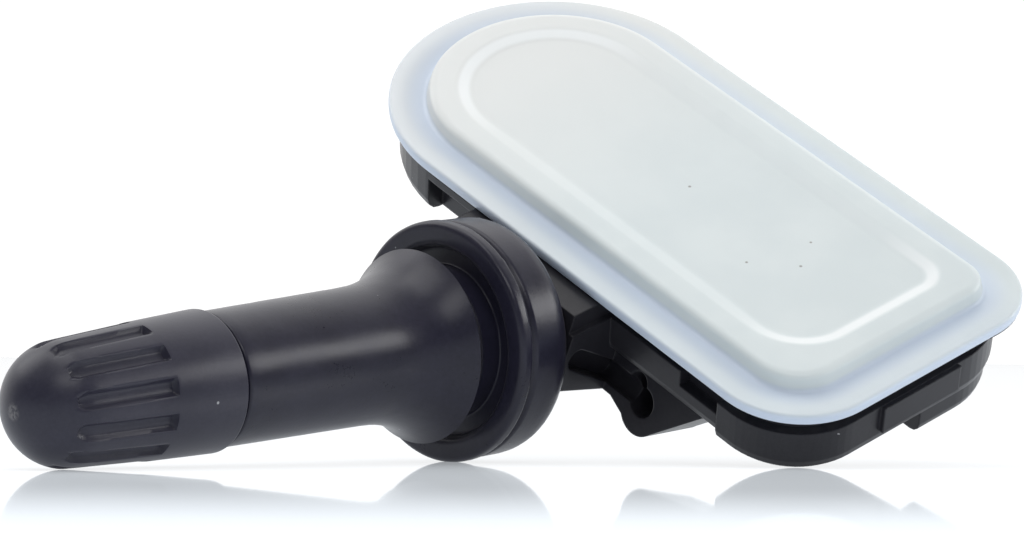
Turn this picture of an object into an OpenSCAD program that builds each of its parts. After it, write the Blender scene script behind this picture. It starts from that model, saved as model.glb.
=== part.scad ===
// Tyre pressure sensor on a rubber snap-in valve, lying as it comes to rest on a floor.
// It rests on the shoulder of the dust cap, the rim of the flange and one corner of the housing.
// Lengths are in millimetres and angles in degrees.
// Valve frame: X runs out along the stem, Z rises towards the lid and the origin is the centre of
// the seat, where the inner face of the wheel meets the flange.
// Body frame: Z is the lid's normal, Y runs to the square end and the origin is the rim's centre.

/* [Rubber valve body] */
// Radius of the flange's front rim
flange_r = 9.6; // [9.3:0.1:10.1]
// Radius of the flange's rear ring
rear_ring_r = 9.5; // [9.2:0.1:10]
// Thickness of the flange behind the seat
flange_t = 5.8; // [5.5:0.1:6.4]
// Rounding of the flange's back edge
flange_back_round = 1.8; // [0.8:0.1:2]
// Depth of the dish in the flange's front face
dish_depth = 1; // [0.6:0.1:1.3]
// Radius of the neck that sits in the rim hole
neck_r = 6.1; // [5.8:0.1:6.6]
// Width of the groove between the dish and the bulge
groove_w = 2.4; // [1.8:0.1:3]
// Radius of the bulge that snaps through the rim hole
bulge_r = 7.7; // [7.3:0.1:8.2]
// Length of the cone behind the bulge's edge
bulge_l = 4.2; // [3.6:0.1:5]
// Radius of the stem just above the bulge
stem_base_r = 5.4; // [5.1:0.1:5.7]
// Radius of the stem at its outer end
stem_top_r = 5.15; // [4.9:0.05:5.3]
// Distance from the seat to the end of the rubber
stem_l = 23.8; // [22:0.1:27]

/* [Dust cap] */
// Radius of the cap at its open end
cap_r = 5.45; // [5.4:0.05:5.8]
// Radius of the domed end
cap_dome_r = 4.75; // [4.6:0.05:5]
// Length of the cap
cap_l = 17.6; // [17.2:0.1:19]
// Gap between the cap and the rubber
cap_gap = 0.3; // [0.2:0.05:0.5]
// Clearance between the cap's bore and the thread
cap_bore_clearance = 0.08; // [0.05:0.01:0.1]
// Number of grip flutes
flute_count = 12; // [8:1:12]
// Width of a flute
flute_w = 1.15; // [0.9:0.05:1.3]
// Length of a flute
flute_l = 8.4; // [7:0.1:9]
// Depth of a flute at its square end
flute_depth = 0.5; // [0.35:0.05:0.6]
// Distance from the open end to the square end of the flutes
flute_start = 6.4; // [5.5:0.1:6.8]

/* [Brass insert] */
// Major radius of the cap thread
thread_r = 3.85; // [3.8:0.01:3.9]
// Length of thread above the rubber
thread_l = 11.5; // [11:0.1:12]
// Radius of the tube inside the rubber
tube_r = 3.3; // [3.2:0.05:3.4]
// Radius of the anchor disc inside the flange
anchor_r = 5.5; // [5:0.1:6]
// Thickness of the anchor disc
anchor_t = 1; // [0.8:0.1:1.2]
// Radius of the foot
foot_r = 4; // [3.8:0.05:4.1]
// Width of the foot across its flats
foot_flats = 7; // [6.6:0.1:7.2]
// Length of the foot behind the rubber
foot_l = 6.2; // [5.9:0.1:6.5]
// Radius of the core's thread bore
core_bore_r = 2.6; // [2.55:0.01:2.65]
// Radius of the barrel bore below the seal seat
barrel_bore_r = 2.15; // [2.1:0.01:2.2]
// Radius of the air passage
air_r = 1.5; // [1.3:0.05:1.6]
// Radius of the cross hole that lets air out of the foot
cross_hole_r = 0.9; // [0.7:0.05:1]

/* [Valve core] */
// Depth of the pin's top below the mouth
pin_recess = 0.4; // [0.2:0.05:0.6]
// Travel of the pin
pin_travel = 1.2; // [0.8:0.1:1.3]
// Length of the threaded plug
plug_l = 3.8; // [3.4:0.1:4.2]
// Radius of the pin
pin_r = 0.6; // [0.5:0.05:0.65]
// Length of the barrel below the plug
barrel_l = 10; // [9.4:0.1:10.6]
// Outer radius of the barrel
barrel_r = 1.85; // [1.8:0.01:1.9]
// Wall of the barrel
barrel_wall = 0.45; // [0.4:0.01:0.5]
// Diameter of the spring wire
spring_wire = 0.28; // [0.24:0.01:0.3]
// Number of turns of the spring
spring_turns = 7; // [6:1:8]

/* [Lid] */
// Length of the lid
lid_l = 57.8; // [57.4:0.1:59]
// Width of the lid
lid_w = 28.4; // [28:0.1:29]
// Radius of the lid's corner beside the stem
lid_corner = 7.4; // [6.8:0.1:8]
// Radius of the lid's far corner
lid_far_corner = 6; // [5:0.1:8]
// Thickness of the rim
rim_t = 0.9; // [0.7:0.05:1.1]
// Width of the rim outside the plateau
rim_w = 3.3; // [3:0.1:3.6]
// Height of the plateau above the rim
plateau_h = 1.15; // [0.9:0.05:1.4]
// Rounding of the plateau's top edge
plateau_round = 0.55; // [0.3:0.05:0.7]
// Width of the gutter at the foot of the plateau
gutter_w = 1; // [0.7:0.1:1.3]
// Depth of the gutter
gutter_depth = 0.25; // [0.15:0.05:0.35]
// Depth of the shallow recess in the plateau
recess_depth = 0.4; // [0.25:0.05:0.5]
// Flat land round the recess
recess_land = 2.2; // [1.5:0.1:2.6]
// Width of the recess's sloped wall
recess_slope = 1.6; // [1:0.1:2]
// Radius of the recess's corner beside the stem
recess_corner = 5.5; // [4:0.1:6.5]
// Radius of the recess's far corner
recess_far_corner = 2.8; // [2.2:0.1:4]
// Wall of the lid's locating skirt
skirt_t = 0.8; // [0.6:0.05:1]
// Height of the locating skirt
skirt_h = 0.7; // [0.5:0.05:0.8]

/* [Housing] */
// Tilt of the body against the stem
body_tilt = 19.6; // [17:0.1:22]
// Distance along the lid from its near edge to the seat's centre
edge_to_seat = 10.2; // [10:0.1:11]
// Depth of the seat's centre below the rim plane
seat_drop = 4.5; // [4.3:0.1:4.9]
// Distance of the stem's axis from the middle of the lid
stem_offset = 0.6; // [0:0.1:1.2]
// Inset of the neck under the lid from the lid's edge
neck_inset = 1.7; // [1.5:0.05:2]
// Depth of the wall's top edge below the rim plane
wall_top = 2; // [1.8:0.05:2.1]
// Depth of the lowered top edge round the square end
relief_top = 2.5; // [2.3:0.05:3]
// Inset of the side wall from the lid's edge
wall_inset = 1; // [0.9:0.05:1.2]
// Depth of the side wall's lower edge below the rim plane
wall_depth = 6.2; // [6:0.1:6.4]
// Inset of the proud band round the square end
band_inset = 0.75; // [0.6:0.05:0.85]
// Depth of the band's lower edge below the rim plane
band_depth = 6.5; // [6.4:0.1:6.8]
// Radius of the wall's far corner
wall_far_corner = 8.8; // [6:0.1:9.5]
// Thickness of the lip under the lid's far corner
lip_t = 0.45; // [0.35:0.05:0.6]
// Rounding of the lower edges
wall_round = 1.2; // [0.6:0.1:1.4]
// Wall between the board cavity and the lid's edge
cavity_inset = 3.2; // [3.1:0.05:3.3]
// Depth of the battery pod's bottom below the rim plane
pod_depth = 7.9; // [7.8:0.1:8.4]
// Depth of the deep pod's bottom below the rim plane
deep_pod_depth = 8.4; // [8.2:0.1:8.8]
// Wall round the battery
battery_wall = 1.1; // [1:0.05:1.3]
// Floor under the deep pod's pocket
floor_t = 1.2; // [1:0.05:1.4]
// Half width of the valve cradle over its cheeks
cradle_half_w = 7.9; // [7.6:0.1:8.3]
// Wall of the cradle's cheeks
cheek_t = 1.8; // [1.5:0.1:2]
// Depth of the cheeks' lower edge below the stem's axis at the ear
cheek_drop = 1.25; // [0.8:0.05:1.6]
// Depth of the cheeks' lower edge below the stem's axis at the flange
cheek_front_drop = 0.7; // [0.4:0.05:1]
// Wall of the sleeve round the valve foot
sleeve_wall = 1.05; // [0.9:0.05:1.2]
// Thickness of the wall that the screw clamps
screw_wall = 2.5; // [2.2:0.1:2.8]
// Length of the ear along the stem
ear_l = 5.6; // [5:0.1:6]
// Depth of the ear's holes
ear_hole_depth = 4; // [3:0.1:4.4]
// Width of the pad on the square end
pad_w = 8.3; // [7.5:0.1:9]
// Radius of the air hole in the housing
port_r = 0.8; // [0.6:0.05:1]

/* [Screw] */
// Radius of the screw's shank
screw_r = 1.45; // [1.4:0.01:1.5]
// Length of the screw under its head
screw_l = 5.2; // [4.8:0.1:5.4]
// Radius of the screw's head
head_r = 2.7; // [2.5:0.05:2.8]
// Height of the screw's head
head_h = 1.9; // [1.7:0.05:2.2]
// Radius of the driver trough behind the head
trough_r = 3.4; // [3.2:0.1:3.6]

/* [Electronics] */
// Thickness of the circuit board
board_t = 1; // [0.8:0.05:1.05]
// Radius of the battery cell
battery_r = 10; // [9.8:0.05:10.1]
// Thickness of the battery cell
battery_t = 3.2; // [3:0.1:3.3]
// Thickness of the contact tabs
tab_t = 0.15; // [0.1:0.01:0.2]
// Width of the contact tabs
tab_w = 3; // [2.5:0.1:3.5]
// Height of the pressure sensor's package
chip_h = 2; // [1.8:0.1:2.1]
// Length of the wake-up coil
coil_l = 7.4; // [6.8:0.1:7.8]
// Height of the wake-up coil
coil_h = 2.9; // [2.6:0.1:3.2]
// Diameter of the antenna wire
antenna_wire = 0.7; // [0.5:0.05:0.75]

/* [Hidden] */

fine = 96;
coarse = 32;
// Overshoot of a cut past the face that it opens
over = 1;
// Gap between faces that are bonded or seated
bond = 0.02;
// Gap between parts that are assembled by hand
slip = 0.05;

// Flange and bulge profile
rim_round = 0.9;
front_rim_w = 1.4;
v_depth = 0.4;
v_half_w = 0.3;
dish_foot_r = bulge_r - 0.2;
bulge_start = groove_w - dish_depth;
bulge_lead = 1.2;
bulge_edge = bulge_start + bulge_lead;
bulge_end = bulge_edge + bulge_l;
flare_l = 2.4;

// Cap
cap_start = stem_l + cap_gap;
cap_end = cap_start + cap_l;
dome_centre = cap_end - cap_dome_r;
cap_bore_r = thread_r + cap_bore_clearance;
cap_edge_round = 0.25;
cap_top_gap = 0.1;
cap_seal_t = 1;
cap_seal_hole_r = 1.2;

// Brass insert
mouth = stem_l + thread_l;
foot_end = flange_t + foot_l;
foot_step = 0.4;
seat_start = mouth - plug_l - 3;
seat_l = 1.5;
barrel_bore_l = 17;
screw_hole_depth = screw_l - screw_wall + 0.3;
cross_hole_x = -flange_t - 0.3 - cross_hole_r;
thread_chamfer = 0.5;

// Valve core
plug_top = mouth - 0.9;
plug_bottom = plug_top - plug_l;
plug_r = core_bore_r - slip;
plug_slot_w = 0.9;
pin_hole_r = pin_r + 0.1;
barrel_top = plug_bottom - slip;
barrel_bottom = barrel_top - barrel_l;
seal_land_r = barrel_r - 0.3;
shoulder_t = 0.8;
pin_top = mouth - pin_recess;
collar_t = 0.7;
collar_r = barrel_r - barrel_wall - 0.1;
collar_top = barrel_top - pin_travel - 1.4;
cup_t = 0.9;
plunger_t = 1;
plunger_r = barrel_r - 0.1;
cup_top = barrel_bottom - bond;
pin_bottom = cup_top - cup_t - plunger_t - 1;
spring_low = barrel_bottom + shoulder_t + spring_wire / 2 + bond;
spring_high = collar_top - collar_t - spring_wire / 2 - bond;
spring_mean_r = (pin_r + barrel_r - barrel_wall) / 2;

// Lid and housing in the body frame
lip_corner_l = 7;
round_end_y = -(lid_l / 2 - lid_w / 2);
square_end_y = lid_l / 2;
lip_z = -rim_t;
lid_bottom_wall = 0.9;
board_gap = 0.1;
board_top_z = lip_z - skirt_h - board_gap;
board_floor_z = board_top_z - board_t - slip;
near_x = lid_w / 2 - wall_inset;
pod_centre = [-0.8, round_end_y - 0.3];
pod_r = battery_r + slip * 5 + battery_wall;
pod_chamfer = 1.2;
deep_pod_x = -near_x + 11.9;
deep_pod_y = square_end_y - 20.7;
deep_pod_inset = 0.15;
deep_pod_chamfer = 0.9;
half_floor_t = 1.5;
bridge_side = 3.6;
bridge_x = [-near_x + bridge_side, near_x - bridge_side];
bridge_chamfer = 1.6;

// Openings in the near wall, as distances along the lid from the stem's axis
relief_y = 6.8;
notch_y = [16.1, 20.6];
notch_bottom = 4;
notch_cut = 1;
gap_y = [-15, -8.4];
gap_depth = 1.6;
strip_bottom = 2.8;
band_y = 20;

// Cradle and ear in the valve frame
cradle_gap = 0.35;
cradle_front = -flange_t - cradle_gap;
socket_end = -foot_end - bond;
screw_wall_end = socket_end - screw_wall;
sleeve_r = foot_r + slip * 2 + sleeve_wall;
cradle_back = screw_wall_end - 1.5;
cradle_top_z = -1;
cradle_rise = 12;
trough_l = 30;
web_z = 3;
ear_front = -11.85;
ear_centre = [12.1, -0.85];
ear_r = 2.05;
ear_top = 4.4;
ear_flank = 18;
ear_flank_z = 2.1;
ear_hole_upper = [11.1, 1.25];
ear_hole_upper_r = 0.95;
ear_hole_lower = [12, 0];
ear_hole_lower_r = 1.3;
cheek_slot_from = [-7.6, 2];
cheek_slot_to = [-12.2, 0.3];
cheek_slot_r = 0.95;
cheek_slot_depth = 1.2;

// Pad on the square end
pad_x = -0.4;
pad_z = [-5, -2.55];
pad_stand = 0.4;

// Electronics in the body frame
battery_top_z = board_floor_z - 0.45;
battery_bottom_z = battery_top_z - battery_t;
battery_pocket_r = battery_r + slip * 5;
battery_pocket_z = battery_bottom_z - tab_t - slip * 2;
tab_end_y = pod_centre[1] + battery_r + 2.6;
board_under_z = board_top_z - board_t;
pocket_y = [square_end_y - 19.3, square_end_y - 6.3];
deep_pocket = [-near_x + 2.2, pocket_y[0], -near_x + 11.5, pocket_y[1]];
half_pocket = [-near_x + 4, pocket_y[0], near_x - 3.8, pocket_y[1]];
half_pocket_z = -wall_depth + half_floor_t;
chip_centre = [-near_x + 6.9, pocket_y[0] + 3.4];
chip_size = [7, 5.6];
coil_centre = [-near_x + 6.9, pocket_y[1] - 3];
coil_w = 3;
crystal_centre = [2.4, pocket_y[0] + 2.4];
crystal_size = [3.2, 2.5, 0.8];
antenna_half = [5.6, 9.5];
antenna_bend_r = 2.5;
antenna_lift = 0.15;

// Rest pose: the pitch puts the dome and the flange's rim on one floor
rim_contact_x = -rim_round;
rim_contact_r = flange_r - rim_round;
pitch_reach = dome_centre - rim_contact_x;
pitch_drop = cap_dome_r - rim_round;
rest_pitch = atan2(rim_contact_r, pitch_reach)
    - asin(pitch_drop / norm([pitch_reach, rim_contact_r]));
rest_height = rim_contact_x * sin(rest_pitch) + rim_contact_r * cos(rest_pitch) + rim_round;

// Middle of the resting part in plan, measured on the built parts, so that it stands over the origin
plan_centre = [2.513, 6.595];

// Centre of the rounding at the housing's lower near corner, in the body frame
corner_r = lid_corner - band_inset;
corner_centre = [lid_w / 2 - lid_corner, lid_l / 2 - lid_corner, -band_depth + wall_round];
seat_in_body = [lid_w / 2 + edge_to_seat, -stem_offset, -seat_drop];

// Floor normal in the body frame at a roll about the stem
function floor_normal(roll) = let (
        nx = -sin(rest_pitch),
        ny = cos(rest_pitch) * sin(roll),
        nz = cos(rest_pitch) * cos(roll))
    [nx * cos(body_tilt) - nz * sin(body_tilt), ny, nx * sin(body_tilt) + nz * cos(body_tilt)];

// Height of the corner's lowest point above the floor at a roll about the stem
function corner_height(roll) = let (n = floor_normal(roll))
    rest_height + n * (corner_centre - seat_in_body)
    - (corner_r - wall_round) * norm([n[0], n[1]]) - wall_round;

// Halving the interval finds the roll at which the corner touches the floor
function settled_roll(low, high, steps) = let (middle = (low + high) / 2)
    steps == 0 ? middle :
    corner_height(middle) > 0 ? settled_roll(low, middle, steps - 1) :
    settled_roll(middle, high, steps - 1);
rest_roll = settled_roll(-60, 0, 40);

// Points of an arc in a turned profile, as distance along the axis and radius
function arc(x, r, radius, from, to, steps = 6) =
    [for (i = [0 : steps]) let (a = from + (to - from) * i / steps)
        [x + radius * cos(a), r + radius * sin(a)]];

// Places the valve frame in the rest pose
module resting() {
    translate([-plan_centre[0], -plan_centre[1], rest_height])
        rotate([0, rest_pitch, 0])
            rotate([rest_roll, 0, 0])
                children();
}

// Places the body frame in the valve frame
module on_body() {
    rotate([0, body_tilt, 0])
        translate(-seat_in_body)
            children();
}

// Solid of revolution about X from points of distance and radius
module turned(profile, facets = fine) {
    rotate([0, 90, 0])
        rotate_extrude($fn = facets)
            polygon([for (p = profile) [p[1], p[0]]]);
}

// Round bar along X
module bar(from, to, r, facets = fine) {
    translate([from, 0, 0])
        rotate([0, 90, 0])
            cylinder(h = to - from, r = r, $fn = facets);
}

// Outline with one fully round end at -Y and a corner radius for each side at +Y
module d_outline(l, w, far_corner, near_corner, facets = fine) {
    translate([0, w / 2 - l / 2])
        circle(r = w / 2, $fn = facets);
    translate([-w / 2, w / 2 - l / 2])
        square([w / 2, l - w / 2 - far_corner]);
    translate([-1, w / 2 - l / 2])
        square([w / 2 + 1, l - w / 2 - near_corner]);
    translate([-w / 2 + far_corner, 0])
        square([w - far_corner - near_corner, l / 2]);
    translate([-w / 2 + far_corner, l / 2 - far_corner])
        circle(r = far_corner, $fn = facets);
    translate([w / 2 - near_corner, l / 2 - near_corner])
        circle(r = near_corner, $fn = facets);
}

// Outline of the lid moved inwards
module lid_outline(inset, facets = fine, far_corner = lid_far_corner) {
    d_outline(lid_l - 2 * inset, lid_w - 2 * inset, max(far_corner - inset, 0.5),
        max(lid_corner - inset, 0.5), facets);
}

// Slab of the lid's outline between two heights
module lid_slab(inset, low, high, facets = fine, far_corner = lid_far_corner) {
    translate([0, 0, low])
        linear_extrude(high - low)
            lid_outline(inset, facets, far_corner);
}

// Slab of the recess's outline, which has corner radii of its own
module recess_slab(step, low, high) {
    inset = rim_w + recess_land + step;
    translate([0, 0, low])
        linear_extrude(high - low)
            d_outline(lid_l - 2 * inset, lid_w - 2 * inset, recess_far_corner - step,
                recess_corner - step, coarse * 2);
}

// Slab of the lid's outline with a rounded upper edge
module soft_slab(inset, low, high, radius) {
    hull() {
        lid_slab(inset, low, high - radius, coarse * 2);
        for (a = [30, 60, 90])
            lid_slab(inset + radius * (1 - cos(a)), low, high - radius * (1 - sin(a)),
                coarse * 2);
    }
}

// Slab of the lid's outline with a rounded lower edge
module keel_slab(inset, low, high, radius) {
    hull() {
        lid_slab(inset, low + radius, high, coarse * 2, wall_far_corner);
        for (a = [30, 60, 90])
            lid_slab(inset + radius * (1 - cos(a)), low + radius * (1 - sin(a)), high,
                coarse * 2, wall_far_corner);
    }
}

module rubber_stem() {
    rubber_bore = tube_r + bond;
    color("#3c3b44")
        resting()
            turned(concat(
                [[-flange_t, rubber_bore]],
                arc(-flange_t + flange_back_round, rear_ring_r - flange_back_round,
                    flange_back_round, 180, 90),
                [[-front_rim_w - v_half_w, rear_ring_r],
                 [-front_rim_w, flange_r - v_depth],
                 [-front_rim_w + v_half_w, flange_r]],
                arc(-rim_round, flange_r - rim_round, rim_round, 90, 0, 4),
                [[-dish_depth, dish_foot_r],
                 [-dish_depth, neck_r],
                 [bulge_start - 0.5, neck_r],
                 [bulge_edge - 0.25, bulge_r - 0.3],
                 [bulge_edge, bulge_r],
                 [bulge_edge + 0.25, bulge_r - 0.08],
                 [bulge_end - bulge_l * 0.5, stem_base_r + (bulge_r - stem_base_r) * 0.5],
                 [bulge_end, stem_base_r + 0.35],
                 [bulge_end + flare_l * 0.4, stem_base_r + 0.12],
                 [bulge_end + flare_l, stem_base_r],
                 [stem_l - 0.3, stem_top_r],
                 [stem_l, stem_top_r - 0.3],
                 [stem_l, rubber_bore],
                 [-flange_t * 0.5 + anchor_t / 2 + bond, rubber_bore],
                 [-flange_t * 0.5 + anchor_t / 2 + bond, anchor_r + bond],
                 [-flange_t * 0.5 - anchor_t / 2 - bond, anchor_r + bond],
                 [-flange_t * 0.5 - anchor_t / 2 - bond, rubber_bore]]));
}

module stem_insert() {
    color("#b9975b")
        resting()
            difference() {
                union() {
                    turned([
                        [-flange_t + bond, 0], [-flange_t + bond, tube_r],
                        [-flange_t * 0.5 - anchor_t / 2, tube_r],
                        [-flange_t * 0.5 - anchor_t / 2, anchor_r],
                        [-flange_t * 0.5 + anchor_t / 2, anchor_r],
                        [-flange_t * 0.5 + anchor_t / 2, tube_r],
                        [stem_l + bond, tube_r],
                        [stem_l + bond + 0.4, thread_r],
                        [mouth - thread_chamfer, thread_r],
                        [mouth, thread_r - thread_chamfer],
                        [mouth, 0]]);
                    intersection() {
                        bar(-foot_end, -flange_t + bond, foot_r);
                        translate([-foot_end - over, -foot_flats / 2, -foot_r - over])
                            cube([foot_l + 2 * over, foot_flats, 2 * foot_r + 2 * over]);
                    }
                }
                turned([
                    [cross_hole_x - cross_hole_r, 0], [cross_hole_x - cross_hole_r, air_r],
                    [mouth - barrel_bore_l - 3, air_r],
                    [mouth - barrel_bore_l - 2.2, barrel_bore_r],
                    [seat_start, barrel_bore_r],
                    [seat_start + seat_l, core_bore_r],
                    [mouth + over, core_bore_r],
                    [mouth + over, 0]]);
                translate([cross_hole_x, 0, -foot_r - over])
                    cylinder(h = foot_r + over, r = cross_hole_r, $fn = fine);
                bar(-foot_end - over, -foot_end + screw_hole_depth, screw_r + slip);
            }
}

module core_plug() {
    color("#c8a35c")
        resting()
            difference() {
                turned([
                    [plug_bottom, 0], [plug_bottom, plug_r], [plug_top - 0.3, plug_r],
                    [plug_top, plug_r - 0.3], [plug_top, 0]]);
                bar(plug_bottom - over, plug_top + over, pin_hole_r);
                for (side = [-1, 1])
                    translate([plug_top - 1.6, side * (plug_slot_w / 2 + pin_r + 1), 0])
                        translate([0, -plug_slot_w, -plug_r])
                            cube([1.6 + over, 2 * plug_slot_w, 2 * plug_r]);
            }
}

module core_barrel() {
    inner_r = barrel_r - barrel_wall;
    seal_low = seat_start - 0.2;
    color("#c8a35c")
        resting()
            difference() {
                turned([
                    [barrel_bottom, 0], [barrel_bottom, barrel_r],
                    [seal_low - bond, barrel_r], [seal_low - bond, seal_land_r],
                    [seal_low + seat_l + 0.7, seal_land_r], [seal_low + seat_l + 0.7, barrel_r],
                    [barrel_top, barrel_r], [barrel_top, 0]]);
                bar(barrel_bottom + shoulder_t, barrel_top + over, inner_r - 0.15);
                bar(barrel_bottom - over, barrel_bottom + shoulder_t + over, pin_r + 0.25);
            }
}

module core_seal() {
    seal_low = seat_start - 0.2;
    color("#7f2f2a")
        resting()
            difference() {
                turned([
                    [seal_low, 0], [seal_low, barrel_bore_r - slip],
                    [seat_start + slip, barrel_bore_r - slip],
                    [seat_start + seat_l, core_bore_r - slip * 2],
                    [seal_low + seat_l + 0.7 - bond, core_bore_r - slip * 2],
                    [seal_low + seat_l + 0.7 - bond, 0]]);
                bar(seal_low - over, seal_low + seat_l + 0.7 + over, seal_land_r + bond);
            }
}

module core_pin() {
    color("#d8c48a")
        resting()
            turned([
                [pin_bottom, 0], [pin_bottom, pin_r],
                [cup_top - cup_t - plunger_t, pin_r], [cup_top - cup_t - plunger_t, plunger_r],
                [cup_top - cup_t, plunger_r], [cup_top - cup_t, pin_r],
                [collar_top - collar_t, pin_r], [collar_top - collar_t, collar_r - 0.15],
                [collar_top, collar_r - 0.15], [collar_top, pin_r],
                [pin_top - 0.15, pin_r], [pin_top, pin_r - 0.15], [pin_top, 0]]);
}

module core_cup_seal() {
    color("#2c2c2e")
        resting()
            difference() {
                bar(cup_top - cup_t + bond, cup_top, plunger_r);
                bar(cup_top - cup_t - over, cup_top + over, pin_r + bond);
            }
}

module core_spring() {
    sides = 6;
    steps = 14;
    rings = spring_turns * steps;
    rise = spring_high - spring_low;
    function ring_point(i, k) = let (
            a = 360 * i / steps,
            b = 360 * k / sides,
            r = spring_mean_r + spring_wire / 2 * cos(b))
        [spring_low + rise * i / rings + spring_wire / 2 * sin(b), r * cos(a), r * sin(a)];
    color("#c9ccd0")
        resting()
            polyhedron(
                points = [for (i = [0 : rings]) for (k = [0 : sides - 1]) ring_point(i, k)],
                faces = concat(
                    [[for (k = [0 : sides - 1]) k]],
                    [for (i = [0 : rings - 1]) for (k = [0 : sides - 1])
                        [i * sides + (k + 1) % sides, i * sides + k,
                         (i + 1) * sides + k, (i + 1) * sides + (k + 1) % sides]],
                    [[for (k = [sides - 1 : -1 : 0]) rings * sides + k]]));
}

module dust_cap() {
    bore_end = mouth + cap_seal_t + cap_top_gap + slip;
    flute_from = cap_start + flute_start;
    color("#34333b")
        resting()
            difference() {
                turned(concat(
                    [[cap_start, 0], [cap_start, cap_r - cap_edge_round],
                     [cap_start + cap_edge_round, cap_r]],
                    arc(dome_centre, 0, cap_dome_r, 88, 0, 12)));
                turned([
                    [cap_start - over, 0], [cap_start - over, cap_bore_r],
                    [bore_end - 0.4, cap_bore_r], [bore_end, cap_bore_r - 0.8],
                    [bore_end, 0]]);
                for (i = [0 : flute_count - 1])
                    rotate([6 + 360 * i / flute_count, 0, 0])
                        flute_cut(flute_from, flute_l);
            }
}

// One grip flute: a round-bottomed slot that gets shallower towards the dome
module flute_cut(from, length) {
    surface = cap_r + (cap_dome_r - cap_r) * (from - cap_start) / (dome_centre - cap_start);
    run_out = atan2(flute_depth * 0.7, length) - atan2(cap_r - cap_dome_r, dome_centre - cap_start);
    translate([from, 0, surface - flute_depth + flute_w / 2])
        rotate([0, -run_out, 0]) {
            bar(0, length, flute_w / 2, coarse);
            translate([length, 0, 0])
                sphere(r = flute_w / 2, $fn = coarse);
            translate([0, -flute_w / 2, 0])
                cube([length, flute_w, 2]);
        }
}

module cap_seal() {
    color("#5b5b60")
        resting()
            difference() {
                bar(mouth + slip, mouth + slip + cap_seal_t, cap_bore_r - 0.9);
                bar(mouth - over, mouth + slip + cap_seal_t + over, cap_seal_hole_r);
            }
}

module lid() {
    plateau_inset = rim_w;
    hollow_inset = plateau_inset + lid_bottom_wall;
    color("#e3e8ea")
        resting()
            on_body()
                difference() {
                    union() {
                        soft_slab(0, lip_z, 0, 0.35);
                        soft_slab(plateau_inset, lip_z + 0.2, plateau_h, plateau_round);
                        lid_slab(cavity_inset + slip, lip_z - skirt_h, lip_z + 0.1);
                    }
                    difference() {
                        lid_slab(plateau_inset - gutter_w, -gutter_depth, over);
                        lid_slab(plateau_inset, -over, over * 2);
                    }
                    hull() {
                        recess_slab(0, plateau_h, plateau_h + over);
                        recess_slab(recess_slope, plateau_h - recess_depth, plateau_h + over);
                    }
                    lid_slab(hollow_inset, lip_z - skirt_h - over,
                        plateau_h - recess_depth - lid_bottom_wall);
                    lid_slab(cavity_inset + slip + skirt_t, lip_z - skirt_h - over, lip_z);
                }
}

// Block between two corners in plan and two heights
module plan_block(from_to, low, high) {
    translate([from_to[0], from_to[1], low])
        cube([from_to[2] - from_to[0], from_to[3] - from_to[1], high - low]);
}

// Tub without its cavities, in the body frame
module tub_body() {
    lid_slab(neck_inset, -wall_top - 0.5, lip_z - bond);
    intersection() {
        lid_slab(0.1, lip_z - lip_t, lip_z - bond);
        plan_block([-lid_w, lid_l / 2 - lip_corner_l, -lid_w / 2 + lip_corner_l, lid_l], -over * 3, 0);
    }
    keel_slab(wall_inset, -wall_depth, -wall_top, wall_round);
    intersection() {
        keel_slab(band_inset, -band_depth, -wall_top, wall_round);
        plan_block([-lid_w, band_y, lid_w, lid_l], -band_depth - over, over);
    }
    intersection() {
        keel_slab(wall_inset + deep_pod_inset, -deep_pod_depth, -wall_top - 1, deep_pod_chamfer);
        plan_block([-lid_w, deep_pod_y, deep_pod_x, lid_l], -deep_pod_depth - over, over);
    }
    translate([pod_centre[0], pod_centre[1], -pod_depth]) {
        cylinder(h = pod_chamfer, r1 = pod_r - pod_chamfer, r2 = pod_r, $fn = fine);
        translate([0, 0, pod_chamfer])
            cylinder(h = pod_depth - pod_chamfer - wall_depth + 1.5, r = pod_r, $fn = fine);
    }
    translate([0, deep_pod_y + over, 0])
        rotate([90, 0, 0])
            linear_extrude(deep_pod_y + over - pod_centre[1])
                polygon([
                    [bridge_x[0], -wall_depth + 0.5], [bridge_x[0], -deep_pod_depth + bridge_chamfer],
                    [bridge_x[0] + bridge_chamfer, -deep_pod_depth],
                    [bridge_x[1] - bridge_chamfer, -deep_pod_depth],
                    [bridge_x[1], -deep_pod_depth + bridge_chamfer], [bridge_x[1], -wall_depth + 0.5]]);
    plan_block([pad_x - pad_w / 2, square_end_y - band_inset - over,
        pad_x + pad_w / 2, square_end_y - band_inset + pad_stand], pad_z[0], pad_z[1]);
}

// Cradle that takes the valve's foot, in the valve frame
module cradle() {
    depth = cradle_front - cradle_back;
    difference() {
        translate([0, cradle_half_w, 0])
            rotate([90, 0, 0])
                linear_extrude(2 * cradle_half_w)
                    polygon([[cradle_back, cradle_rise], [cradle_back, -cheek_drop],
                        [ear_front, -cheek_drop], [cradle_front, -cheek_front_drop],
                        [cradle_front, cradle_rise]]);
        translate([screw_wall_end, -cradle_half_w + cheek_t, -cheek_drop - over])
            cube([depth + over, 2 * (cradle_half_w - cheek_t), cheek_drop + web_z + over]);
    }
    bar(screw_wall_end, cradle_front, sleeve_r);
}

// Ear beside the cradle, in the valve frame
module ear() {
    left = cradle_half_w - cheek_t;
    translate([ear_front - ear_l, 0, 0])
        rotate([90, 0, 90])
            linear_extrude(ear_l)
                union() {
                    translate(ear_centre)
                        circle(r = ear_r, $fn = fine);
                    polygon([
                        [left, ear_top], [left, -cheek_drop],
                        [cradle_half_w + 0.9, -cheek_drop - 0.05],
                        ear_centre + ear_r * [cos(215), sin(215)],
                        ear_centre + ear_r * [cos(250), sin(250)],
                        ear_centre + ear_r * [cos(305), sin(305)],
                        [ear_flank, ear_flank_z], [ear_flank, ear_top]]);
                }
}

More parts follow.
